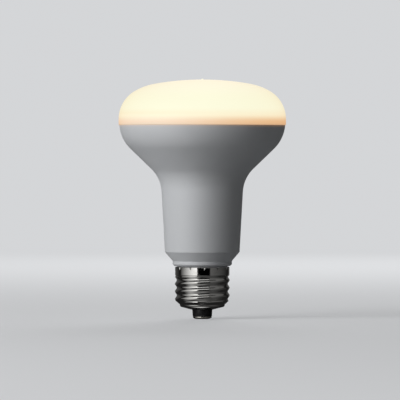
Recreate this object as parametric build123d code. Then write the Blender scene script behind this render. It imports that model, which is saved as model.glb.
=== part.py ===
# Reflector lamp with an 80 mm diffuser dome and an E26 lamp screw base.
# Millimetres, +Z up along the axis of the lamp, origin at the end of the centre contact.

import os
from math import acos, atan2, ceil, cos, degrees, radians, sin, sqrt, tan

from build123d import *

# Diffuser: a straight rim, two shoulder arcs and a flat crown, all tangent (angles in degrees)
dome_radius = 40.0
rim_height = 2.8
shoulder_radius = 15.5
shoulder_turn = 59.5
haunch_radius = 28.3
crown_radius = 130.0
gate_radius = 0.45
gate_height = 0.4
plug_depth = 4.0

# Housing: bowl, cone, tapered neck, chamfered collar and lip (angles from the axis)
housing_height = 67.4
rim_step = 0.32
rim_wall = 2.2
rim_lean = 4.7
bowl_radius = 18.05
cone_angle = 46.0
throat_radius = 16.4
neck_foot_radius = 17.85
neck_draft = 3.15
collar_height = 4.4
lip_overhang = 1.15
lip_height = 2.3
lip_chamfer = 0.8

# Screw shell: sheet metal with the E26 thread rolled into it and a rounded end (angles in degrees)
sheet = 0.3
thread_pitch = 3.629
thread_crest_radius = 13.1
thread_depth = 0.84
thread_length = 12.43
thread_start_angle = 70.1
sections_per_pitch = 12
band_inset = 0.1
band_height = 4.15
rim_gap = 0.4
lead_in_angle = 45.0
waist_radius = 10.8
waist_height = 0.15
end_round = 1.1
end_slope = 14.3

# Staking: chisel marks that press the shell's rim in towards the housing's spigot
stake_count = 12
stake_first_angle = -86.0
stake_height = 1.7
stake_depth = 0.55

# Insulator and centre contact
nose_radius = 4.8
nose_length = 3.25
nose_draft = 4.0
flange_height = 1.85
contact_radius = 4.5
contact_height = 1.2
contact_edge_height = 0.7
contact_flat_radius = 2.6
shank_radius = 1.2
shank_length = 4.0

# Clearances between pieces
plug_clearance = 0.1
spigot_clearance = 0.1
spigot_end_gap = 0.5
insulator_clearance = 0.1
shank_clearance = 0.05

# Radii shared by pieces that fit each other
housing_rim_radius = dome_radius - rim_step
recess_radius = housing_rim_radius - rim_wall
thread_shift = thread_depth / 2
thread_mean_radius = thread_crest_radius - thread_shift
thread_root_radius = thread_crest_radius - thread_depth
thread_bore_radius = thread_root_radius - sheet
band_radius = thread_crest_radius - band_inset
band_bore_radius = band_radius - sheet
lip_radius = band_radius + lip_overhang
end_hole_radius = nose_radius + insulator_clearance
round_centre_radius = waist_radius - end_round

# Slope of the shell's end, and of the lead-in from its waist to the thread
end_rise = tan(radians(end_slope))
lead_in_rise = 1 / tan(radians(lead_in_angle))

# Heights along the axis, from the contact's end up to the seam under the diffuser
shell_end_z = contact_height + nose_length
round_centre_z = shell_end_z + (round_centre_radius - end_hole_radius) * end_rise
round_centre_z += end_round / cos(radians(end_slope))
waist_z = round_centre_z + waist_height
thread_foot_z = waist_z + (thread_root_radius - waist_radius) * lead_in_rise
flange_top_z = thread_foot_z + flange_height
thread_top_z = thread_foot_z + thread_length
shell_rim_z = thread_top_z + band_height
lip_z = shell_rim_z + rim_gap
collar_z = lip_z + lip_height
neck_z = collar_z + collar_height
seam_z = lip_z + housing_height

UPWARD = (Align.CENTER, Align.CENTER, Align.MIN)


def turned(profile):
    """A profile drawn as radius and height, turned round the lamp's axis."""
    return revolve(Plane.XZ * profile, Axis.Z)


def outline(*edges):
    """A closed face from edges that meet end to end."""
    return make_face(Curve() + list(edges))


def diffuser():
    """Moulded dome with a plug that sits in the housing's rim."""
    plug_radius = recess_radius - plug_clearance
    plug_z = seam_z - plug_depth
    foot = Polyline((0, plug_z), (plug_radius, plug_z), (plug_radius, seam_z), (dome_radius, seam_z))
    side = Line((dome_radius, seam_z), (dome_radius, seam_z + rim_height))
    shoulder = JernArc(side @ 1, side % 1, shoulder_radius, shoulder_turn)
    haunch_centre_r = (shoulder @ 1).X - haunch_radius * cos(radians(shoulder_turn))
    crown_start = degrees(acos(haunch_centre_r / (crown_radius - haunch_radius)))
    haunch = JernArc(shoulder @ 1, shoulder % 1, haunch_radius, crown_start - shoulder_turn)
    crown_end = degrees(acos(gate_radius / crown_radius))
    crown = JernArc(haunch @ 1, haunch % 1, crown_radius, crown_end - crown_start)
    gate_top_z = (crown @ 1).Y + gate_height
    gate = Polyline(crown @ 1, (gate_radius, gate_top_z), (0, gate_top_z), (0, plug_z))
    return turned(outline(foot, side, shoulder, haunch, crown, gate))


def housing():
    """One moulding: bowl, cone, neck, collar, lip and the spigot inside the screw shell."""
    lean = radians(rim_lean)
    cone = radians(cone_angle)
    draft = radians(neck_draft)
    bowl_start = Vector(housing_rim_radius, seam_z)
    bowl = JernArc(bowl_start, (-sin(lean), -cos(lean)), bowl_radius, rim_lean - cone_angle)
    bowl_end = bowl @ 1
    cone_foot_rise = bowl_end.X - neck_foot_radius - tan(cone) * (bowl_end.Y - neck_z)
    throat_z = neck_z - cone_foot_rise / (tan(cone) - tan(draft))
    throat_r = neck_foot_radius + tan(draft) * (throat_z - neck_z)
    neck = FilletPolyline(
        bowl_end, (throat_r, throat_z), (neck_foot_radius, neck_z), radius=throat_radius
    )
    foot = Polyline(
        neck @ 1,
        (lip_radius, collar_z),
        (lip_radius, lip_z + lip_chamfer),
        (lip_radius - lip_chamfer, lip_z),
    )

    spigot_radius = band_bore_radius - spigot_clearance
    relief_radius = band_radius - stake_depth - sheet - spigot_clearance
    relief_z = shell_rim_z - stake_height - spigot_clearance
    stem_radius = thread_bore_radius - spigot_clearance
    seat_z = thread_top_z + sheet
    stem_z = flange_top_z + spigot_end_gap
    floor_z = seam_z - plug_depth - plug_clearance
    inside = Polyline(
        foot @ 1,
        (relief_radius, lip_z),
        (relief_radius, relief_z),
        (spigot_radius, relief_z),
        (spigot_radius, seat_z),
        (stem_radius, seat_z),
        (stem_radius, stem_z),
        (0, stem_z),
        (0, floor_z),
        (recess_radius, floor_z),
        (recess_radius, seam_z),
        bowl_start,
    )
    return turned(outline(bowl, neck, foot, inside))


def thread_bar(foot_z):
    """A round bar set off the axis by half the thread's depth, its offset turning once a pitch."""
    length = thread_top_z - foot_z
    steps = ceil(sections_per_pitch * length / thread_pitch)
    sections = []
    for step in range(steps + 1):
        z = foot_z + length * step / steps
        turn = radians(thread_start_angle + 360 * (z - thread_foot_z) / thread_pitch)
        shift = Pos(thread_shift * cos(turn), thread_shift * sin(turn), z)
        sections.append(shift * Circle(thread_mean_radius))
    return loft(sections)


def end_floor_z(radius, inset):
    """Height of the shell's dished end at a radius, that far inside its outer face."""
    return shell_end_z + (radius - end_hole_radius) * end_rise + inset / cos(radians(end_slope))


def shell_outside():
    """Outer form below the band: dished end, rounded corner, waist, and lead-in past the crests."""
    corner_r = round_centre_radius + end_round * sin(radians(end_slope))
    floor = Line((end_hole_radius, shell_end_z), (corner_r, end_floor_z(corner_r, 0)))
    corner = JernArc(floor @ 1, floor % 1, end_round, 90 - end_slope)
    side_radius = thread_crest_radius + thread_depth
    side = Polyline(
        corner @ 1,
        (waist_radius, waist_z),
        (side_radius, waist_z + (side_radius - waist_radius) * lead_in_rise),
        (side_radius, thread_top_z + sheet),
        (end_hole_radius, thread_top_z + sheet),
        floor @ 0,
    )
    return turned(outline(floor, corner, side))


def shell_inside():
    """Room inside the sheet, with a plain chamfer inside the rounded corner and a plain bore above."""
    inner_radius = waist_radius - sheet
    lead_in_z = waist_z + sheet * tan(radians(lead_in_angle / 2))
    room = Polyline(
        (end_hole_radius, end_floor_z(end_hole_radius, sheet)),
        (round_centre_radius, end_floor_z(round_centre_radius, sheet)),
        (inner_radius, round_centre_z),
        (inner_radius, lead_in_z),
        (thread_bore_radius, lead_in_z + (thread_bore_radius - inner_radius) * lead_in_rise),
        (thread_bore_radius, thread_top_z + sheet),
        (end_hole_radius, thread_top_z + sheet),
        close=True,
    )
    return turned(make_face(room))


def screw_shell():
    """Sheet metal cap: plain band, shoulder, rolled thread, lead-in, waist and rounded end."""
    wall = thread_bar(shell_end_z - sheet) & shell_outside()
    wall -= shell_inside()
    band = Polyline(
        (thread_bore_radius, thread_top_z),
        (band_radius, thread_top_z),
        (band_radius, shell_rim_z),
        (band_bore_radius, shell_rim_z),
        (band_bore_radius, thread_top_z + sheet),
        (thread_bore_radius, thread_top_z + sheet),
        (thread_bore_radius, thread_top_z),
    )
    shell = turned(make_face(band)) + wall

    chisel_tilt = degrees(atan2(stake_depth, stake_height))
    chisel_side = 4 * stake_depth
    chisel = Rot(0, 0, 45) * Box(chisel_side, chisel_side, 4 * stake_height)
    chisel = Rot(0, -chisel_tilt, 0) * Pos(chisel_side / sqrt(2), 0, 0) * chisel
    chisel = Pos(band_radius, 0, shell_rim_z - stake_height) * chisel
    within = Cylinder(band_radius - sheet / 2, band_height - sheet, align=UPWARD)
    dent = (Pos(-sheet, 0, 0) * chisel) & (Pos(0, 0, thread_top_z + sheet) * within)
    for number in range(stake_count):
        aim = Rot(0, 0, stake_first_angle + 360 * number / stake_count)
        shell += aim * dent
        shell -= aim * chisel
    return shell


def base_insulator():
    """Black moulding: a flange that lies in the shell's end and a nose that stands out of it."""
    bed_inset = sheet + insulator_clearance
    flange_radius = round_centre_radius - insulator_clearance
    nose_foot_radius = nose_radius - tan(radians(nose_draft)) * (shell_end_z - contact_height)
    hole_radius = shank_radius + shank_clearance
    hole_top_z = contact_height + shank_length + shank_clearance
    section = Polyline(
        (hole_radius, contact_height),
        (nose_foot_radius, contact_height),
        (nose_radius, shell_end_z),
        (nose_radius, end_floor_z(nose_radius, bed_inset)),
        (flange_radius, end_floor_z(flange_radius, bed_inset)),
        (flange_radius, flange_top_z),
        (0, flange_top_z),
        (0, hole_top_z),
        (hole_radius, hole_top_z),
        (hole_radius, contact_height),
    )
    return turned(make_face(section))


def centre_contact():
    """Round contact button with the shank that rivets it into the insulator."""
    tip_z = contact_height + shank_length
    flat = Line((0, 0), (contact_flat_radius, 0))
    crown = TangentArc(flat @ 1, (contact_radius, contact_edge_height), tangent=(1, 0))
    back = Polyline(
        crown @ 1,
        (contact_radius, contact_height),
        (shank_radius, contact_height),
        (shank_radius, tip_z),
        (0, tip_z),
        (0, 0),
    )
    return turned(outline(flat, crown, back))


os.makedirs("parts", exist_ok=True)
pieces = {
    "diffuser": diffuser(),
    "housing": housing(),
    "screw_shell": screw_shell(),
    "base_insulator": base_insulator(),
    "centre_contact": centre_contact(),
}
for name, piece in pieces.items():
    export_step(piece, f"parts/{name}.step")
    box = piece.bounding_box()
    print(f"{name}: {piece.volume:.1f} mm3, z {box.min.Z:.2f} to {box.max.Z:.2f}, r {box.max.X:.2f}")
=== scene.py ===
# %% [markdown]
# # A reflector lamp, dressed piece by piece
#
# The lamp is a frosted dome on a white flared housing, with a screw base below it. Its solids are
# already made to size, and this lesson gives each one the surface that a camera sees: smooth walls with
# soft edges, a rolled thread, and finishes made of nodes. Everything is in metres, in the solids' own
# frame: the origin is the end of the centre contact and +Z runs up the axis.

# %% Load the frame
from math import acos, asin, atan2, cos, degrees, pi, radians, sin, tan

import bpy
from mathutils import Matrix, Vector


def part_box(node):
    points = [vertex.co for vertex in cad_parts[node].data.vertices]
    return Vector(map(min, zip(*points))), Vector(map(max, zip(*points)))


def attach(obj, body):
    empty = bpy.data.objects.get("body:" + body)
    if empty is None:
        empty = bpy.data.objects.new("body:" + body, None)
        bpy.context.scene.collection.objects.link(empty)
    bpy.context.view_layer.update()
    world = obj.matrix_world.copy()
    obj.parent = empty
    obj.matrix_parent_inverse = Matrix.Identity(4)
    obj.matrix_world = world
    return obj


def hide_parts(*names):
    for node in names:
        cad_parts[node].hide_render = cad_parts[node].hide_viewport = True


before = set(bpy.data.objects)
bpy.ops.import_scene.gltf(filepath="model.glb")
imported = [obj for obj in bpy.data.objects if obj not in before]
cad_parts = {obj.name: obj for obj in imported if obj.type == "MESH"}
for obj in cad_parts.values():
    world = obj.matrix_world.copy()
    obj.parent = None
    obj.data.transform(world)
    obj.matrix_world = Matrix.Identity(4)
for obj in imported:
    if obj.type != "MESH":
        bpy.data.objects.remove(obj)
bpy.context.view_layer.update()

print("nodes:", ", ".join(sorted(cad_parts)))

# %% [markdown]
# ## Heights and radii
#
# A real lamp is checked with a calliper: the widest point of each piece and the heights where one piece
# gives way to the next. The frame already holds those, so they are read from each solid's box and not
# typed in again. Only what a box can't tell, such as a fillet or a wall, gets a number later on, beside
# the piece that needs it.

# %% Read the main sizes from the solids
MM = 0.001


def extent(node):
    """Lowest height, highest height and radius of a round node."""
    low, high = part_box(node)
    return low.z, high.z, high.x


plug_z, lamp_top, dome_radius = extent("diffuser")
spigot_end, seam, rim_radius = extent("housing")
shell_end, shell_rim, crest_radius = extent("screw_shell")
nose_end, flange_top, flange_radius = extent("base_insulator")
contact_end, shank_tip, contact_radius = extent("centre_contact")
print(f"lamp {lamp_top / MM:.1f} mm tall, {2 * dome_radius / MM:.1f} mm across, seam at {seam / MM:.1f} mm")

# %% [markdown]
# ## A pen and a lathe
#
# Every piece of this lamp was turned, moulded or drawn round one axis. A half outline of radius and
# height, swept round that axis, is the shortest way to say so. The Screw modifier would do it too, but a
# small lathe of our own closes the poles with one point each and keeps every face pointing outwards, as
# long as the outline climbs on its outer side.

# %% Outlines from straight runs, rounded corners and arcs
ARC_STEP = radians(5)
SMALL_RADIUS = 2 * MM
SMALL_ARC_STEP = radians(10)


def arc(centre, radius, start, turn):
    """Points of an arc, from a start angle through a turn, both in radians and without its first point."""
    coarsest = SMALL_ARC_STEP if radius < SMALL_RADIUS else ARC_STEP
    steps = max(2, round(abs(turn) / coarsest))
    angles = [start + turn * step / steps for step in range(1, steps + 1)]
    return [centre + radius * Vector((cos(a), sin(a))) for a in angles]


def onward(points, heading, radius, turn):
    """Carries an outline on from its last point, along an arc that turns left from a heading."""
    left = Vector((-sin(heading), cos(heading)))
    centre = points[-1] + radius * left
    points.extend(arc(centre, radius, heading - pi / 2, turn))
    return heading + turn


def rounded(*corners):
    """An outline through corners of radius, height and fillet, with the fillets drawn as arcs."""
    points = []
    spots = [Vector(corner[:2]) for corner in corners]
    for number, (spot, corner) in enumerate(zip(spots, corners)):
        fillet = corner[2] if len(corner) > 2 else 0
        if not fillet:
            points.append(spot)
            continue
        back = (spots[number - 1] - spot).normalized()
        ahead = (spots[number + 1] - spot).normalized()
        half = back.angle(ahead) / 2
        start = spot + back * (fillet / tan(half))
        centre = spot + (back + ahead).normalized() * (fillet / sin(half))
        first = start - centre
        turn = pi - 2 * half
        if back.x * ahead.y - back.y * ahead.x > 0:
            turn = -turn
        points.append(start)
        points.extend(arc(centre, fillet, atan2(first.y, first.x), turn))
    return points


print(f"an arc has a point every {degrees(ARC_STEP):.0f} degrees, or {degrees(SMALL_ARC_STEP):.0f} if small")

# %% The lathe
AXIS_REACH = 1e-7


def lathe(name, outline, around):
    """A closed mesh from a half outline that starts and ends on the axis, or is a ring of its own."""
    points = []
    rings = []
    for r, z in outline:
        on_axis = r < AXIS_REACH
        count = 1 if on_axis else around
        rings.append([len(points) + step % count for step in range(around)])
        turns = [2 * pi * step / around for step in range(count)]
        points.extend((0, 0, z) if on_axis else (r * cos(t), r * sin(t), z) for t in turns)
    faces = []
    closed_ring = outline[0][0] > AXIS_REACH
    for lower, upper in zip(rings, rings[1:] + (rings[:1] if closed_ring else [])):
        for step in range(around):
            beside = (step + 1) % around
            face = (lower[step], lower[beside], upper[beside], upper[step])
            faces.append(tuple(dict.fromkeys(face)))
    mesh = bpy.data.meshes.new(name)
    mesh.from_pydata(points, [], [face for face in faces if len(face) > 2])
    mesh.validate()
    mesh.shade_smooth()
    piece = bpy.data.objects.new(name, mesh)
    bpy.context.scene.collection.objects.link(piece)
    return piece


print(f"an outline closes in one point where it comes within {AXIS_REACH / MM:.4f} mm of the axis")

# %% Putting a piece in its place
SHARP_ANGLE = radians(35)


def place(piece, node):
    """Gives a finished piece its crisp edges, and puts it in the frame in place of its solid."""
    piece.data.set_sharp_from_angle(angle=SHARP_ANGLE)
    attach(piece, "root")
    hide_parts(node)
    print(f"{piece.name}: {len(piece.data.polygons)} faces, stands for {node}")


print(f"edges that turn by more than {degrees(SHARP_ANGLE):.0f} degrees stay crisp")

# %% [markdown]
# ## Nodes written as sums
#
# A finish is a graph of nodes, and a graph is hard to read as a list of links. So one small class holds
# the end of a wire. Adding or multiplying two ends makes the Math node that does it, and its node method
# makes any other node: first the settings, then the sockets. The same class serves the shell's Geometry
# Nodes later, because both kinds of tree know the Math node.

# %% A wire that can be added and multiplied
class Wire:
    """The end of a link in a node tree, or the bare tree where nothing is linked yet."""

    def __init__(self, tree, socket=None):
        self.tree = tree
        self.socket = socket

    def node(self, kind, settings=None, sockets=None, output=0):
        """Adds a node and gives back the wire from one of its outputs."""
        made = self.tree.nodes.new(kind)
        for name, value in (settings or {}).items():
            setattr(made, name, value)
        for name, value in (sockets or {}).items():
            if isinstance(value, Wire):
                self.tree.links.new(value.socket, made.inputs[name])
            else:
                made.inputs[name].default_value = value
        return Wire(self.tree, made.outputs[output] if made.outputs else None)

    def pick(self, output):
        """Another output of the same node."""
        return Wire(self.tree, self.socket.node.outputs[output])

    def math(self, operation, *values):
        """A Math node on wires and numbers."""
        return self.node("ShaderNodeMath", {"operation": operation}, dict(enumerate(values)))

    def __add__(self, other):
        return self.math("ADD", self, other)

    def __radd__(self, other):
        return self.math("ADD", other, self)

    def __sub__(self, other):
        return self.math("SUBTRACT", self, other)

    def __rsub__(self, other):
        return self.math("SUBTRACT", other, self)

    def __mul__(self, other):
        return self.math("MULTIPLY", self, other)

    def __rmul__(self, other):
        return self.math("MULTIPLY", other, self)

    def __truediv__(self, other):
        return self.math("DIVIDE", self, other)

    def __rtruediv__(self, other):
        return self.math("DIVIDE", other, self)

    def step(self, low, high):
        """Rises smoothly from 0 to 1 as this wire's value goes from low to high."""
        sockets = {"Value": self, "From Min": low, "From Max": high}
        return self.node("ShaderNodeMapRange", {"interpolation_type": "SMOOTHSTEP"}, sockets)

    def mix(self, colour, other):
        """One colour where this wire's value is 0, the other where it is 1."""
        sockets = {0: self, 6: colour, 7: other}
        return self.node("ShaderNodeMix", {"data_type": "RGBA"}, sockets, output=2)


print("a wire knows", ", ".join(name for name in vars(Wire) if not name.startswith("_")))

# %% Helpers that every finish uses
def start_finish(name):
    """A new empty material and the bare wire of its tree."""
    material = bpy.data.materials.new(name)
    material.use_nodes = True
    material.node_tree.nodes.clear()
    return material, Wire(material.node_tree)


def surface(bench, **sockets):
    """The Principled shader with its sockets, wired to the material's output."""
    named = {name.replace("_", " "): value for name, value in sockets.items()}
    shader = bench.node("ShaderNodeBsdfPrincipled", sockets=named)
    bench.node("ShaderNodeOutputMaterial", sockets={"Surface": shader})


def grain(bench, size, stretch=(1, 1, 1), detail=2.0):
    """Noise from 0 to 1 whose blobs are about that size in metres, stretched by a share on each axis."""
    spot = bench.node("ShaderNodeTexCoord", output="Object")
    spot = bench.node("ShaderNodeMapping", sockets={"Vector": spot, "Scale": stretch})
    sockets = {"Vector": spot, "Scale": 1 / size, "Detail": detail}
    return bench.node("ShaderNodeTexNoise", sockets=sockets)


def relief(bench, height, depth):
    """A bump whose full height is that depth in metres."""
    return bench.node("ShaderNodeBump", sockets={"Height": height, "Distance": depth})


def colour(*parts):
    """An opaque colour from its red, green and blue."""
    return (*parts, 1.0)


helpers = (start_finish, surface, grain, relief, colour)
print("every finish uses", ", ".join(helper.__name__ for helper in helpers))

# %% [markdown]
# ## The diffuser
#
# The dome is moulded polycarbonate, frosted so that the diodes inside can't be made out, and it is lit.
# Its outline is a short straight rim, two shoulder arcs and a nearly flat crown, each starting in the
# direction in which the last one ended, so the pen only has to turn. At the pole stands the stub where
# the plastic came into the mould. A sphere squashed to size would be quicker, but it would have neither
# the rim nor the flat crown.

# %% Shape of the diffuser
DOME_AROUND = 256
RIM_HEIGHT = 2.8 * MM
RIM_EDGE = 0.25 * MM
SHOULDER = 15.5 * MM
SHOULDER_TURN = radians(59.5)
HAUNCH = 28.3 * MM
CROWN = 130 * MM
CROWN_RUNS = 4
GATE_RADIUS = 0.45 * MM
GATE_EDGE = 0.12 * MM
PLUG_STEP = 2.62 * MM

plug_radius = dome_radius - PLUG_STEP
dome_outline = rounded(
    (0, plug_z),
    (plug_radius, plug_z),
    (plug_radius, seam),
    (dome_radius, seam, RIM_EDGE),
    (dome_radius, seam + RIM_HEIGHT),
)
heading = onward(dome_outline, pi / 2, SHOULDER, SHOULDER_TURN)
haunch_centre = dome_outline[-1].x - HAUNCH * cos(SHOULDER_TURN)
crown_start = acos(haunch_centre / (CROWN - HAUNCH))
heading = onward(dome_outline, heading, HAUNCH, crown_start - SHOULDER_TURN)
crown_end = acos(GATE_RADIUS / CROWN)
for run in range(CROWN_RUNS):
    heading = onward(dome_outline, heading, CROWN, (crown_end - crown_start) / CROWN_RUNS)
gate_foot = dome_outline.pop()
dome_outline += rounded(gate_foot, (GATE_RADIUS, lamp_top, GATE_EDGE), (0, lamp_top))
diffuser = lathe("diffuser_dome", dome_outline, DOME_AROUND)
print(f"crown meets the gate at {gate_foot.y / MM:.2f} mm")

# %% [markdown]
# ## The lit frosting
#
# The light comes from inside, so the dome is painted with emission and not with a lamp: cream all over,
# and a peach band along the rim, where the light has crossed the most plastic. Height above the seam is
# all that the colour needs, so the pattern is the same from every side. The base colour is painted shade
# that follows the glow: the plastic's milky colour where less light comes through, nearly black where the
# most does, so that the soft boxes add little to the brightest glow. The dome's edge looks warmer than its
# middle, because light that leaves at a slant has crossed more plastic. The coat's tint does just that: it
# deepens with the way through the coat, and with an index near 1 the coat adds no gloss of its own. A grain
# too fine to see from a step away breaks up the sheen, as the frosting does.

# %% Finish of the diffuser
BRIGHT = colour(0.985, 1.0, 0.825)
CREAM = colour(0.965, 0.98, 0.755)
WARM = colour(0.97, 0.875, 0.625)
PEACH = colour(0.81, 0.49, 0.24)
SEAM_SHADE = colour(0.687, 0.419, 0.215)
# Painted shade: the base colour follows the glow, milky low on the dome and nearly black where it glows
# most.
MILKY = colour(0.155, 0.33, 0.41)
LIT = colour(0.03, 0.035, 0.035)
SKIN = colour(0.993, 0.967, 0.95)
SKIN_IOR = 1.03
SKIN_ROUGHNESS = 0.5
# Heights above the seam, in millimetres, over which each colour takes over from the one below it.
GLOW_BANDS = (((-0.4, 1.5), PEACH), ((1.2, 5.0), WARM), ((3.4, 8.5), CREAM), ((12.0, 21.0), BRIGHT))
LIT_BAND = (1.5, 6.0)
GLOW_GRAIN = 0.05
FROST_SIZE = 0.25 * MM
FROST_DEPTH = 0.015 * MM
FROST_ROUGHNESS = 0.5
FROST_SCATTER = 0.12


def above(bench, level):
    """Height above a level on the lamp, in millimetres."""
    spot = bench.node("ShaderNodeTexCoord", output="Object")
    return (bench.node("ShaderNodeSeparateXYZ", sockets={0: spot}, output="Z") - level) / MM


frosted, bench = start_finish("frosted_diffuser")
height = above(bench, seam)
frosting = grain(bench, FROST_SIZE)
glow = SEAM_SHADE
for band, tone in GLOW_BANDS:
    glow = height.step(*band).mix(glow, tone)
surface(
    bench,
    # Painted shade by height: milky base colour near the seam, nearly black where the glow is strongest.
    Base_Color=height.step(*LIT_BAND).mix(MILKY, LIT),
    Roughness=FROST_ROUGHNESS + FROST_SCATTER * frosting,
    Coat_Weight=1.0,
    Coat_Tint=SKIN,
    Coat_IOR=SKIN_IOR,
    Coat_Roughness=SKIN_ROUGHNESS,
    Emission_Color=(GLOW_GRAIN * frosting).mix(glow, WARM),
    Emission_Strength=1.0,
    Normal=relief(bench, frosting, FROST_DEPTH),
)
diffuser.data.materials.append(frosted)
place(diffuser, "diffuser")

# %% [markdown]
# ## The housing
#
# One white moulding carries the lamp: a bowl under the dome, a straight cone, a neck with a little
# draft so that it leaves its mould, a chamfered collar and a lip. Its corners are known as the points
# where the straight runs would meet, so the outline is a list of corners with fillets. Below the lip a
# spigot goes down into the metal shell; it is hidden, but it closes the solid.

# %% Shape of the housing
HOUSING_AROUND = 256
RIM_LEAN = radians(4.7)
RIM_WALL = 2.2 * MM
BOWL = 18.05 * MM
CONE = radians(46)
THROAT = 16.4 * MM
NECK_FOOT = 17.85 * MM
NECK_DRAFT = radians(3.15)
COLLAR_HEIGHT = 4.4 * MM
LIP_HEIGHT = 2.3 * MM
LIP_RADIUS = 14.15 * MM
LIP_CHAMFER = 0.8 * MM
RIM_GAP = 0.4 * MM
SOFT_EDGE = 0.25 * MM
CRISP_EDGE = 0.12 * MM

lip = shell_rim + RIM_GAP
collar = lip + LIP_HEIGHT
neck = collar + COLLAR_HEIGHT
bowl_run = BOWL * tan((CONE - RIM_LEAN) / 2)
bowl_corner = Vector((rim_radius - bowl_run * sin(RIM_LEAN), seam - bowl_run * cos(RIM_LEAN)))
cone_rise = bowl_corner.x - NECK_FOOT - tan(CONE) * (bowl_corner.y - neck)
throat_z = neck - cone_rise / (tan(CONE) - tan(NECK_DRAFT))
throat_r = NECK_FOOT + tan(NECK_DRAFT) * (throat_z - neck)
print(f"lip at {lip / MM:.2f} mm, neck from {neck / MM:.2f} mm to its throat at {throat_z / MM:.2f} mm")

# %% The spigot inside the shell, and the housing turned
STEM_RADIUS = 11.86 * MM
SPIGOT_RADIUS = 12.6 * MM
RELIEF_RADIUS = 12.05 * MM
SEAT_RISE = 10.38 * MM
RELIEF_DEPTH = 2.2 * MM
FLOOR_GAP = 0.1 * MM

seat = spigot_end + SEAT_RISE
relief_z = lip - RELIEF_DEPTH
floor_z = plug_z - FLOOR_GAP
recess_radius = rim_radius - RIM_WALL
housing_outline = rounded(
    (0, spigot_end),
    (STEM_RADIUS, spigot_end),
    (STEM_RADIUS, seat),
    (SPIGOT_RADIUS, seat),
    (SPIGOT_RADIUS, relief_z),
    (RELIEF_RADIUS, relief_z),
    (RELIEF_RADIUS, lip),
    (LIP_RADIUS - LIP_CHAMFER, lip, SOFT_EDGE),
    (LIP_RADIUS, lip + LIP_CHAMFER, SOFT_EDGE),
    (LIP_RADIUS, collar, SOFT_EDGE),
    (NECK_FOOT, neck, SOFT_EDGE),
    (throat_r, throat_z, THROAT),
    (*bowl_corner, BOWL - CRISP_EDGE),
    (rim_radius, seam, CRISP_EDGE),
    (recess_radius, seam),
    (recess_radius, floor_z),
    (0, floor_z),
)
housing = lathe("housing_moulding", housing_outline, HOUSING_AROUND)
print(f"{len(housing_outline)} points in the housing's outline")

# %% [markdown]
# ## Satin white plastic
#
# The mould was spark-eroded, which leaves a fine even grain that turns gloss into satin. So the white is
# nearly plain, with a faint cloudiness from the pigment, and the grain goes into bump and roughness. A
# little of the dome's light leaks into the thin rim under the seam, which is a trace of emission there. A
# glossier paint with an image of scratches would look old, and this moulding is new.

# %% Finish of the housing
WHITE = colour(0.605, 0.62, 0.64)
CLOUD = colour(0.635, 0.647, 0.663)
LEAK = colour(0.10, 0.042, 0.012)
LEAK_BAND = (-1.5, 0.0)
DARK = colour(0, 0, 0)
SPARK_SIZE = 0.16 * MM
SPARK_DEPTH = 0.012 * MM
SPARK_DETAIL = 3.0
CLOUD_SIZE = 9 * MM
CLOUD_STRETCH = (1, 1, 0.5)
SATIN_ROUGHNESS = 0.40
SPARK_ROUGHNESS = 0.10
CLOUD_ROUGHNESS = 0.06

satin, bench = start_finish("white_housing")
spark = grain(bench, SPARK_SIZE, detail=SPARK_DETAIL)
cloud = grain(bench, CLOUD_SIZE, stretch=CLOUD_STRETCH)
surface(
    bench,
    Base_Color=cloud.mix(WHITE, CLOUD),
    Roughness=SATIN_ROUGHNESS + SPARK_ROUGHNESS * spark + CLOUD_ROUGHNESS * cloud,
    Emission_Color=above(bench, seam).step(*LEAK_BAND).mix(DARK, LEAK),
    Emission_Strength=1.0,
    Normal=relief(bench, spark, SPARK_DEPTH),
)
housing.data.materials.append(satin)
place(housing, "housing")

# %% [markdown]
# ## The screw shell
#
# The shell starts as a cup of thin sheet. Two rollers then press a right-hand thread into its wall, and a
# chisel stakes its rim on to the housing in twelve places. The lesson makes it the same way: the lathe
# turns the plain cup, and a Geometry Nodes tree rolls and stakes it. Rolling is one rule for every point:
# how far the wall moves depends only on its height and its angle round the axis.

# %% Sizes of the plain cup
SHELL_AROUND = 432
SHEET = 0.3 * MM
THREAD_DEPTH = 0.84 * MM
BAND_HEIGHT = 4.15 * MM
LEAD_IN = radians(48)
WAIST = 10.8 * MM
WAIST_HEIGHT = 0.15 * MM
END_ROUND = 1.1 * MM
END_SLOPE = radians(14.3)
END_HOLE = 4.9 * MM
BAND_INSET = 0.1 * MM
STAKE_HEIGHT = 1.7 * MM


def end_floor(radius, depth=0.0):
    """Height of the shell's dished end at a radius, that deep inside its outer face."""
    return shell_end + (radius - END_HOLE) * tan(END_SLOPE) + depth / cos(END_SLOPE)


def on_lead_in(radius):
    """Height at which the cone from the waist out to the thread has that radius."""
    return waist + (radius - WAIST) / tan(LEAD_IN)


band_radius = crest_radius - BAND_INSET
mean_radius = crest_radius - THREAD_DEPTH / 2
root_radius = crest_radius - THREAD_DEPTH
waist = end_floor(WAIST - END_ROUND, END_ROUND) + WAIST_HEIGHT
thread_foot = on_lead_in(root_radius)
thread_top = shell_rim - BAND_HEIGHT
stake_foot = shell_rim - STAKE_HEIGHT
print(f"waist at {waist / MM:.2f} mm, thread from {thread_foot / MM:.2f} to {thread_top / MM:.2f} mm")

# %% Turn the cup: up its outside, over the rim and down its inside
WAIST_BEND = 0.3 * MM
FOOT_BEND = 0.5 * MM
CONE_ROWS = 2
BEND = 0.35 * MM
BEND_ROOM = 0.6 * MM
RIM_ROUND = 0.33 * MM
PAST_ROUND = 1.01
ROLL_ROWS = 52
BAND_ROWS = 12


def ladder(radius, low, high, rows):
    """A straight wall with evenly spaced points, without its two ends."""
    return [Vector((radius, low + (high - low) * row / rows)) for row in range(1, rows)]


def inset(points, thickness):
    """The same outline moved inwards by a wall's thickness, and run the other way."""
    moved = []
    for number, point in enumerate(points):
        ahead = points[min(number + 1, len(points) - 1)]
        along = (ahead - points[max(number - 1, 0)]).normalized()
        inner = point + Vector((-along.y, along.x)) * thickness
        moved.append(Vector((max(inner.x, END_HOLE), inner.y)))
    return moved[::-1]


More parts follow.
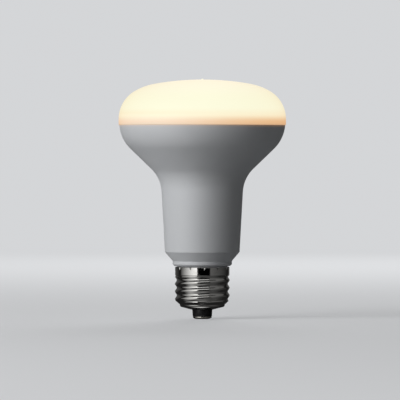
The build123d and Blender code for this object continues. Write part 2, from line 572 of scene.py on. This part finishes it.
cone_step = (mean_radius - root_radius) / CONE_ROWS
cone_rows = [root_radius + cone_step * row for row in range(CONE_ROWS)]
wall_foot = on_lead_in(mean_radius) + FOOT_BEND
rounded_end = rounded(
    (END_HOLE, shell_end),
    (WAIST, end_floor(WAIST), END_ROUND),
    (WAIST, waist, WAIST_BEND),
    *[(radius, on_lead_in(radius)) for radius in cone_rows],
    (mean_radius, on_lead_in(mean_radius), FOOT_BEND),
    (mean_radius, wall_foot),
)
thread_wall = ladder(mean_radius, wall_foot, thread_top - BEND_ROOM, ROLL_ROWS)
shoulder = rounded(
    (mean_radius, thread_top - BEND_ROOM),
    (mean_radius, thread_top - BEND / 2, BEND),
    (band_radius, thread_top + BEND / 2, BEND),
    (band_radius, stake_foot),
)
staked_band = ladder(band_radius, stake_foot, shell_rim - RIM_ROUND, BAND_ROWS)
# The edge's last corner only gives its rounding room to end, and is left out of the wall.
rim_edge = rounded(
    staked_band[-1],
    (band_radius, shell_rim, RIM_ROUND),
    (band_radius - PAST_ROUND * RIM_ROUND, shell_rim),
)
outside = rounded_end + thread_wall + shoulder + staked_band[:-1] + rim_edge[:-1]
shell = lathe("screw_shell_rolled", outside + inset(outside, SHEET), SHELL_AROUND)
print(f"the cup's wall has {len(outside)} rows of points")

# %% [markdown]
# ## Nickel plate
#
# The sheet is plated and bright, but not a mirror: drawing and rolling leave fine lines round it, and
# handling leaves faint cloudy patches. The lines are noise that is stretched round the axis and squeezed
# along it, and they feed both bump and roughness, so that a reflection is drawn out a little and frays at
# its edges. An image of brushed steel would have to be unwrapped, and its seam would show.

# %% Finish of the shell
NICKEL = colour(0.80, 0.79, 0.765)
DULLED = colour(0.66, 0.645, 0.61)
ROUND_THE_AXIS = (0.02, 0.02, 1)
LINE_SIZE = 0.12 * MM
LINE_DEPTH = 0.002 * MM
LINE_DETAIL = 3.0
LINE_TINT = 0.2
PATCH_SIZE = 3.5 * MM
PATCH_DETAIL = 4.0
PATCH_EDGE = (0.5, 0.75)
PATCH_TINT = 0.6
NICKEL_ROUGHNESS = 0.07
LINE_ROUGHNESS = 0.05
PATCH_ROUGHNESS = 0.08

nickel, bench = start_finish("nickel_shell")
lines = grain(bench, LINE_SIZE, stretch=ROUND_THE_AXIS, detail=LINE_DETAIL)
patches = grain(bench, PATCH_SIZE, detail=PATCH_DETAIL)
dulled = patches.step(*PATCH_EDGE)
surface(
    bench,
    Base_Color=(PATCH_TINT * dulled + LINE_TINT * lines).mix(NICKEL, DULLED),
    Metallic=1.0,
    Roughness=NICKEL_ROUGHNESS + LINE_ROUGHNESS * lines + PATCH_ROUGHNESS * dulled,
    Normal=relief(bench, lines, LINE_DEPTH),
)
print(f"nickel plate with lines about {LINE_SIZE / MM:.2f} mm wide and patches of {PATCH_SIZE / MM:.1f} mm")

# %% [markdown]
# ## Rolling and staking
#
# The tree reads where each point is and turns that into an angle, a radius and a height. The thread is a
# cosine of the angle that moves on by one turn for each pitch of height. It fades out under the band as a
# roller's run-out does, and at its foot it is trimmed to the cone that leads in from the waist. The stakes
# come from folding the angle into twelve equal sectors and pressing a blunt wedge into the middle of each,
# deepest at the rim. Copies of a punch subtracted with a Boolean would also work, but they would leave no
# bent wall inside.

# %% The tree that rolls the thread and stakes the rim
ROLLING = {
    "Pitch": 3.629 * MM,
    "Depth": THREAD_DEPTH,
    "Mean radius": mean_radius,
    "Foot": thread_foot,
    "Top": thread_top,
    "Run-out": 0.9 * MM,
    "Start angle": radians(55.7),
    "Waist": waist,
    "Waist radius": WAIST,
    "Lead-in": tan(LEAD_IN),
    "Stakes": 12,
    "First stake": radians(-86),
    "Stake foot": stake_foot,
    "Stake depth": 0.55 * MM,
    "Bluntness": 0.08 * MM,
    "Rim": shell_rim,
}
tree = bpy.data.node_groups.new("roll_and_stake", "GeometryNodeTree")
tree.interface.new_socket("Cup", in_out="INPUT", socket_type="NodeSocketGeometry")
tree.interface.new_socket("Shell", in_out="OUTPUT", socket_type="NodeSocketGeometry")
keys = {}
for name in ROLLING:
    socket = tree.interface.new_socket(name, in_out="INPUT", socket_type="NodeSocketFloat")
    keys[name] = socket.identifier
bench = Wire(tree)
cup = bench.node("NodeGroupInput")
size = {name: cup.pick(name) for name in ROLLING}
spot = bench.node("GeometryNodeInputPosition")
x = bench.node("ShaderNodeSeparateXYZ", sockets={0: spot})
y = x.pick("Y")
z = x.pick("Z")
angle = bench.math("ARCTAN2", y, x)
radius = bench.math("SQRT", x * x + y * y)
print("inputs:", ", ".join(f"{name} is {key}" for name, key in keys.items()))

# %% How far the wall moves, and the finished shell
turn = size["Start angle"] + 2 * pi * (z - size["Foot"]) / size["Pitch"]
ended = z.step(size["Top"] - size["Run-out"], size["Top"])
swing = size["Depth"] / 2 * bench.math("COSINE", angle - turn) * (1 - ended)
cone = size["Waist radius"] + (z - size["Waist"]) * size["Lead-in"]
trimmed = bench.math("SMOOTH_MIN", size["Mean radius"] + swing, cone, size["Bluntness"])
roll = trimmed - bench.math("MINIMUM", size["Mean radius"], cone)
sector = 2 * pi / size["Stakes"]
beside = bench.math("FLOORED_MODULO", angle - size["First stake"] + sector / 2, sector) - sector / 2
share_up = (z - size["Stake foot"]) / (size["Rim"] - size["Stake foot"])
wedge = size["Stake depth"] * share_up - bench.math("ABSOLUTE", beside * radius)
press = bench.math("SMOOTH_MAX", wedge, 0.0, size["Bluntness"])
scale = (radius + roll - press) / radius
moved = bench.node("ShaderNodeCombineXYZ", sockets={"X": x * scale, "Y": y * scale, "Z": z})
rolled = bench.node("GeometryNodeSetPosition", sockets={"Geometry": cup, "Position": moved})
rolled = bench.node("GeometryNodeRealizeInstances", sockets={"Geometry": rolled})
rolled = bench.node("GeometryNodeSetMaterial", sockets={"Geometry": rolled, "Material": nickel})
bench.node("NodeGroupOutput", sockets={"Shell": rolled})

rolling = shell.modifiers.new("rolling", "NODES")
rolling.node_group = tree
for name, value in ROLLING.items():
    rolling[keys[name]] = float(value)
depsgraph = bpy.context.evaluated_depsgraph_get()
shell_mesh = bpy.data.meshes.new_from_object(shell.evaluated_get(depsgraph), depsgraph=depsgraph)
shell.modifiers.remove(rolling)
shell.data = shell_mesh
place(shell, "screw_shell")

# %% [markdown]
# ## The insulator
#
# A black moulding keeps the shell and the centre contact apart. Its flange lies inside the shell's end,
# where it can't be seen, and only its slightly tapered nose shows. The bed under the flange follows the
# shell's dished end with a hair of clearance, so its two heights come from the same slope.

# %% Shape of the insulator
BASE_AROUND = 128
NOSE_RADIUS = 4.8 * MM
NOSE_DRAFT = radians(4)
SHANK_HOLE = 1.25 * MM
HOLE_GAP = 0.05 * MM
INSULATOR_GAP = 0.1 * MM
NOSE_EDGE = 0.3 * MM

bed_foot = end_floor(NOSE_RADIUS, SHEET + INSULATOR_GAP)
bed_top = end_floor(flange_radius, SHEET + INSULATOR_GAP)
nose_foot_radius = NOSE_RADIUS - tan(NOSE_DRAFT) * (shell_end - nose_end)
insulator_outline = rounded(
    (0, shank_tip + HOLE_GAP),
    (SHANK_HOLE, shank_tip + HOLE_GAP),
    (SHANK_HOLE, nose_end),
    (nose_foot_radius, nose_end, NOSE_EDGE),
    (NOSE_RADIUS, shell_end),
    (NOSE_RADIUS, bed_foot),
    (flange_radius, bed_top),
    (flange_radius, flange_top),
    (0, flange_top),
)
insulator = lathe("insulator_nose", insulator_outline, BASE_AROUND)
print(f"nose {2 * nose_foot_radius / MM:.2f} mm across at its foot, bed from {bed_foot / MM:.2f} mm")

# %% [markdown]
# ## Glossy black
#
# The insulator is a hard black moulding with a gloss straight from the tool. Black shows only what it
# mirrors, so its detail is in the gloss: slow ripples where the material flowed, and a dusting of spots
# that are a little less shiny.

# %% Finish of the insulator
BLACK = colour(0.011, 0.011, 0.012)
SPECK = colour(0.035, 0.034, 0.032)
RIPPLE_SIZE = 1.6 * MM
RIPPLE_DEPTH = 0.03 * MM
SPECK_SIZE = 0.22 * MM
SPECK_DETAIL = 4.0
SPECK_EDGE = (0.58, 0.72)
GLOSS_ROUGHNESS = 0.16
RIPPLE_ROUGHNESS = 0.10
SPECK_ROUGHNESS = 0.22

black, bench = start_finish("black_insulator")
ripple = grain(bench, RIPPLE_SIZE)
specks = grain(bench, SPECK_SIZE, detail=SPECK_DETAIL).step(*SPECK_EDGE)
surface(
    bench,
    Base_Color=specks.mix(BLACK, SPECK),
    Roughness=GLOSS_ROUGHNESS + RIPPLE_ROUGHNESS * ripple + SPECK_ROUGHNESS * specks,
    Normal=relief(bench, ripple, RIPPLE_DEPTH),
)
insulator.data.materials.append(black)
place(insulator, "base_insulator")

# %% [markdown]
# ## The centre contact
#
# The contact is a button riveted through the insulator. It has a small flat that meets the lampholder's
# spring, a crowned edge and a shank. The crown is the one arc that leaves the flat without a kink and
# ends on the button's edge, and its radius follows from those two conditions.

# %% Shape of the contact
FLAT_RADIUS = 2.6 * MM
EDGE_HEIGHT = 0.7 * MM
BUTTON_EDGE = 0.1 * MM
SHANK_RADIUS = 1.2 * MM

crown_width = contact_radius - FLAT_RADIUS
crown_arc = (crown_width**2 + EDGE_HEIGHT**2) / (2 * EDGE_HEIGHT)
contact_outline = [Vector((0, contact_end)), Vector((FLAT_RADIUS, contact_end))]
onward(contact_outline, 0, crown_arc, asin(crown_width / crown_arc))
contact_outline += rounded(
    contact_outline.pop(),
    (contact_radius, nose_end, BUTTON_EDGE),
    (SHANK_RADIUS, nose_end),
    (SHANK_RADIUS, shank_tip),
    (0, shank_tip),
)
contact = lathe("contact_button", contact_outline, BASE_AROUND)
print(f"the crown's arc has a radius of {crown_arc / MM:.2f} mm")

# %% [markdown]
# ## Plated and touched metal
#
# The button was turned before it was plated, so it keeps rings round its centre. They are a sine of the
# distance from the axis, which costs three nodes and needs no map. The flat is a little duller, as it is
# where springs and fingers have been.

# %% Finish of the contact
PLATE = colour(0.76, 0.73, 0.66)
TOUCHED = colour(0.60, 0.555, 0.47)
RING_PITCH = 0.2 * MM
RING_DEPTH = 0.005 * MM
STAIN_SIZE = 0.9 * MM
STAIN_DETAIL = 4.0
LEAST_TOUCHED = 0.4
TOUCHED_EDGE = (0.7, 1.15)
PLATE_ROUGHNESS = 0.2
TOUCHED_ROUGHNESS = 0.18
RING_ROUGHNESS = 0.05

plated, bench = start_finish("plated_contact")
spot = bench.node("ShaderNodeTexCoord", output="Object")
x = bench.node("ShaderNodeSeparateXYZ", sockets={0: spot})
y = x.pick("Y")
from_axis = bench.math("SQRT", x * x + y * y)
rings = 0.5 + 0.5 * bench.math("SINE", 2 * pi / RING_PITCH * from_axis)
stain = grain(bench, STAIN_SIZE, detail=STAIN_DETAIL)
off_the_flat = (from_axis / FLAT_RADIUS).step(*TOUCHED_EDGE)
touched = (1 - off_the_flat) * (LEAST_TOUCHED + (1 - LEAST_TOUCHED) * stain)
surface(
    bench,
    Base_Color=touched.mix(PLATE, TOUCHED),
    Metallic=1.0,
    Roughness=PLATE_ROUGHNESS + TOUCHED_ROUGHNESS * touched + RING_ROUGHNESS * rings,
    Normal=relief(bench, rings, RING_DEPTH),
)
contact.data.materials.append(plated)
place(contact, "centre_contact")

# %% [markdown]
# ## The studio
#
# The lamp stands on a pale floor that runs away into a pale background. The floor is a real surface, so
# that it holds a shadow and throws light back up. It throws back as little as a grey one, which keeps the
# shade under the flared housing, and is paler only for the rays that show it. For those it is also veiled
# with the colour of the background, and further out it turns into that colour, so that no horizon is
# left. The background itself is only a colour: what lights the lamp is a much dimmer world and two soft
# boxes.

# %% Background
PALE = colour(0.66, 0.67, 0.685)
UNTINTED = colour(1, 1, 1)
AMBIENT = 0.09


def shown(bench):
    """1 for a ray that shows the background: straight to the camera, mirrored or seen through."""
    path = bench.node("ShaderNodeLightPath", output="Is Camera Ray")
    mirrored = path.math("MAXIMUM", path.pick("Is Glossy Ray"), path.pick("Is Transmission Ray"))
    return path.math("MAXIMUM", path, mirrored)


world = bpy.data.worlds.new("pale_studio")
world.use_nodes = True
world.node_tree.nodes.clear()
bpy.context.scene.world = world
bench = Wire(world.node_tree)
dim = bench.node("ShaderNodeBackground", sockets={"Color": UNTINTED, "Strength": AMBIENT})
pale = bench.node("ShaderNodeBackground", sockets={"Color": PALE, "Strength": 1.0})
sky = bench.node("ShaderNodeMixShader", sockets={0: shown(bench), 1: dim, 2: pale})
bench.node("ShaderNodeOutputWorld", sockets={"Surface": sky})
print(f"background {PALE[:3]}, ambient light {AMBIENT}")

# %% Floor
FLOOR = colour(0.26, 0.265, 0.27)
FLOOR_SHOWN = colour(0.79, 0.80, 0.815)
NEAR_HAZE = 0.45
HAZE_REACH = (0.1, 1.6)
FLOOR_REACH = 60.0
FLOOR_AROUND = 96

floor_finish, bench = start_finish("pale_floor")
spot = bench.node("ShaderNodeTexCoord", output="Object")
far = bench.node("ShaderNodeVectorMath", {"operation": "LENGTH"}, {0: spot}, output="Value")
hazy = NEAR_HAZE + (1 - NEAR_HAZE) * far.step(*HAZE_REACH)
seen = shown(bench)
matt = bench.node("ShaderNodeBsdfDiffuse", sockets={"Color": seen.mix(FLOOR, FLOOR_SHOWN)})
haze = bench.node("ShaderNodeEmission", sockets={"Color": PALE, "Strength": 1.0})
ground = bench.node("ShaderNodeMixShader", sockets={0: hazy * seen, 1: matt, 2: haze})
bench.node("ShaderNodeOutputMaterial", sockets={"Surface": ground})

floor_mesh = bpy.data.meshes.new("floor")
rim = [2 * pi * step / FLOOR_AROUND for step in range(FLOOR_AROUND)]
corners = [(FLOOR_REACH * cos(a), FLOOR_REACH * sin(a), contact_end) for a in rim]
floor_mesh.from_pydata(corners, [], [tuple(range(FLOOR_AROUND))])
floor_mesh.materials.append(floor_finish)
floor = bpy.data.objects.new("floor", floor_mesh)
bpy.context.scene.collection.objects.link(floor)
print(f"a floor {2 * FLOOR_REACH:.0f} m across, lost in haze {HAZE_REACH[1]} m away")

# %% [markdown]
# ## Light and its flags
#
# One tall soft box stands to the front left, as in a product photograph, and the white housing falls off
# into shade on its right. A second one behind the lamp lights its back. Bright metal is lit by what it
# mirrors, so curved cards stand round the lamp for its mirrors alone: a bright one in the soft box's
# place, a black one about the camera, dim ones on either side, and under the lamp a dark mat with a few
# soft glows, which the down-facing sides of the thread pick up. No card blocks light or shows itself, and
# the soft boxes themselves aren't mirrored.

# %% Soft boxes
AIM = Vector((0, 0, lamp_top / 2))
SOFT_BOXES = {
    "key_box": {"azimuth": -54, "elevation": 12, "distance": 1.2, "size": (1.0, 1.5), "power": 18.4},
    "back_box": {"azimuth": 174, "elevation": 24, "distance": 1.4, "size": (0.8, 0.8), "power": 10.0},
}


def direction(azimuth, elevation):
    """From the lamp outwards, by angles in degrees; azimuth 0 is towards the camera, left is negative."""
    across = radians(azimuth)
    up = radians(elevation)
    return Vector((sin(across) * cos(up), -cos(across) * cos(up), sin(up)))


for name, box in SOFT_BOXES.items():
    light = bpy.data.lights.new(name, "AREA")
    light.shape = "RECTANGLE"
    light.size, light.size_y = box["size"]
    light.energy = box["power"]
    lit = bpy.data.objects.new(name, light)
    lit.location = AIM + box["distance"] * direction(box["azimuth"], box["elevation"])
    lit.rotation_euler = (AIM - lit.location).to_track_quat("-Z", "Y").to_euler()
    lit.visible_glossy = False
    lit.visible_camera = False
    bpy.context.scene.collection.objects.link(lit)
print("soft boxes:", ", ".join(SOFT_BOXES))

# %% Cards for the mirrors
CARD_DISTANCE = 0.14
CARD_STEPS = 24
MAT_RADIUS = 0.06
LIFT = 0.05 * MM
MAT_EDGE = (MAT_RADIUS, contact_end + LIFT)
CORNER = (CARD_DISTANCE, contact_end + LIFT)
BREAST = (CARD_DISTANCE, 0.105)
HEAD = (CARD_DISTANCE, 0.19)
TOP = (CARD_DISTANCE, 0.4)
# Each card: the azimuths of its two ends in degrees, its rungs from the bottom up, its shade at each end.
CARDS = {
    "left_back_card": ((-170, -102), (MAT_EDGE, CORNER, TOP), (0.12, 0.0)),
    "bright_edge_card": ((-102, -72), (MAT_EDGE, CORNER, HEAD), (0.0, 0.42)),
    "bright_card": ((-72, -21), (MAT_EDGE, CORNER, HEAD), (0.42, 1.25)),
    "black_card": ((-21, 32), (MAT_EDGE, CORNER, BREAST), (0.0, 0.0)),
    "front_card": ((-21, 32), (BREAST, HEAD), (0.9, 0.6)),
    "right_card": ((32, 130), (MAT_EDGE, CORNER, BREAST), (0.112, 0.006)),
    "right_upper_card": ((32, 130), (BREAST, HEAD), (0.18, 0.08)),
    "top_card": ((-102, 130), (HEAD, TOP), (0.06, 0.06)),
    "right_back_card": ((130, 170), (MAT_EDGE, CORNER, TOP), (0.0, 0.16)),
}


def show_in_mirrors(name, points, faces, shades):
    """A card from points, faces and a shade of grey at each point, seen by glossy surfaces only."""
    mesh = bpy.data.meshes.new(name)
    mesh.from_pydata(points, [], faces)
    mesh.attributes.new("shade", "FLOAT", "POINT").data.foreach_set("value", shades)
    finish, bench = start_finish(name)
    shade = bench.node("ShaderNodeAttribute", {"attribute_name": "shade"}, output="Fac")
    paint = bench.node("ShaderNodeEmission", sockets={"Strength": shade})
    bench.node("ShaderNodeOutputMaterial", sockets={"Surface": paint})
    mesh.materials.append(finish)
    made = bpy.data.objects.new(name, mesh)
    bpy.context.scene.collection.objects.link(made)
    made.visible_camera = False
    made.visible_diffuse = False
    made.visible_shadow = False
    made.visible_transmission = False


def strip_faces(columns, rows):
    """Faces between neighbouring columns of points, with so many points in each column."""
    corners = [column * rows + row for column in range(columns - 1) for row in range(rows - 1)]
    return [(spot, spot + rows, spot + rows + 1, spot + 1) for spot in corners]


for name, ((start, stop), rungs, (first, last)) in CARDS.items():
    points = []
    shades = []
    for step in range(CARD_STEPS + 1):
        share = step / CARD_STEPS
        out = direction(start + (stop - start) * share, 0)
        points += [(out.x * distance, out.y * distance, height) for distance, height in rungs]
        shades += [first + (last - first) * share] * len(rungs)
    show_in_mirrors(name, points, strip_faces(CARD_STEPS + 1, len(rungs)), shades)
print(len(CARDS), "cards, seen by glossy surfaces only")

# %% A mat under the lamp for the mirrors
MAT_SHADE = 0.015
MAT_FADE = 1.5 * MM
MAT_STEPS = 90
GLOWS = {
    "beside the nose": {"azimuth": -10, "spread": 55, "radii": (6.6 * MM, 9.0 * MM), "shade": 1.35},
    "to the left": {"azimuth": -39, "spread": 38, "radii": (18.0 * MM, MAT_RADIUS), "shade": 0.35},
    "in front": {"azimuth": -1, "spread": 36, "radii": (17.0 * MM, 21.0 * MM), "shade": 0.17},
    "to the right": {"azimuth": 42, "spread": 50, "radii": (15.5 * MM, MAT_RADIUS), "shade": 0.045},
}


def mat_shade(azimuth, radius):
    """Shade of the mat at a place: dark, with the glows that reach it added."""
    shade = MAT_SHADE
    for glow in GLOWS.values():
        inner, outer = glow["radii"]
        aside = min(1, abs(azimuth - glow["azimuth"]) / glow["spread"])
        beyond = min(1, max(inner - radius, radius - outer, 0) / MAT_FADE)
        shade += glow["shade"] * cos(aside * pi / 2) ** 2 * (1 - beyond)
    return shade


edges = [edge for glow in GLOWS.values() for edge in glow["radii"]]
ring_radii = {0, *(edge + fade for edge in edges for fade in (-MAT_FADE, 0, MAT_FADE))}
mat_radii = sorted(radius for radius in ring_radii if radius <= MAT_RADIUS)
points = []
shades = []
for step in range(MAT_STEPS + 1):
    azimuth = 360 * step / MAT_STEPS - 180
    out = direction(azimuth, 0)
    points += [(out.x * radius, out.y * radius, contact_end + LIFT) for radius in mat_radii]
    shades += [mat_shade(azimuth, radius) for radius in mat_radii]
show_in_mirrors("dark_mat", points, strip_faces(MAT_STEPS + 1, len(mat_radii)), shades)
print(f"a dark mat with {len(GLOWS)} glows and {len(mat_radii)} rings of points")

# %% [markdown]
# ## The camera
#
# The photograph looks almost straight at the lamp, from a little above its middle, through a long lens:
# the seam under the dome is nearly a straight line. The width of the frame at the lamp is known from its
# scale, and the lens follows from that width and the distance.

# %% Camera
FRAME_WIDTH = 191.3 * MM
FRAME_CENTRE = Vector((-1.1 * MM, 0, 56.9 * MM))
CAMERA_DISTANCE = 2.2
CAMERA_ELEVATION = 0.63
SENSOR = 36.0
CLIP = (0.1, 200.0)

lens = bpy.data.cameras.new("long_lens")
lens.sensor_width = SENSOR
lens.lens = SENSOR * CAMERA_DISTANCE / FRAME_WIDTH
lens.clip_start, lens.clip_end = CLIP
camera = bpy.data.objects.new("camera", lens)
camera.location = FRAME_CENTRE + CAMERA_DISTANCE * direction(0, CAMERA_ELEVATION)
camera.rotation_euler = (radians(90 - CAMERA_ELEVATION), 0, 0)
bpy.context.scene.collection.objects.link(camera)
bpy.context.scene.camera = camera
bpy.context.scene.view_settings.view_transform = "Standard"
print(f"lens of {lens.lens:.0f} mm at {CAMERA_DISTANCE} m")

# %% [markdown]
# ## The dressed lamp's size
#
# The dressed lamp has to be as large as its solids and no larger.
